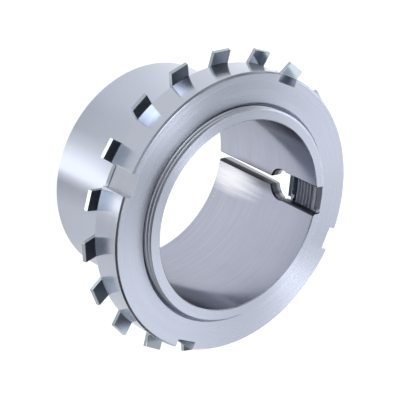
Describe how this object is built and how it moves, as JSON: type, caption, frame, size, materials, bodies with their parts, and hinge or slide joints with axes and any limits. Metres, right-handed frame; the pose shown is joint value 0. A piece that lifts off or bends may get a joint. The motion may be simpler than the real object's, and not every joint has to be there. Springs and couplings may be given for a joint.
{
  "type": "bearing adapter sleeve",
  "caption": "Slit sleeve with a tapered outside and threaded end that clamps a bearing to a plain shaft, with a slotted round nut and a tabbed lock washer.",
  "frame": {"origin": "on the axis, in the plane of the taper's big end, on which the part stands", "axes": "+Z along the axis towards the threaded end and the nut, +X through the middle of the keyway and slit"},
  "size_m": [0.1377, 0.138, 0.067],
  "materials": {
    "sleeve_steel": "fine turned and ground steel",
    "nut_steel": "fine turned steel",
    "washer_steel": "stamped sheet steel"
  },
  "bodies": {
    "sleeve": {"adapter_sleeve": "sleeve_steel"},
    "washer": {"lock_washer": "washer_steel"},
    "nut": {"lock_nut": "nut_steel"}
  },
  "joints": [
    {"name": "washer_slide", "type": "slide", "parent": "sleeve", "child": "washer", "axis": [0, 0, 1], "range_m": [-0.0031, 0.0191]},
    {"name": "nut_turn", "type": "hinge", "parent": "washer", "child": "nut", "pos_m": [0, 0, 0.05585], "axis": [0, 0, 1], "range_deg": [-540, 3420]}
  ],
  "couplings": [
    {"joint": "washer_slide", "follows": "nut_turn", "m_per_rad": 0.00031831}
  ]
}
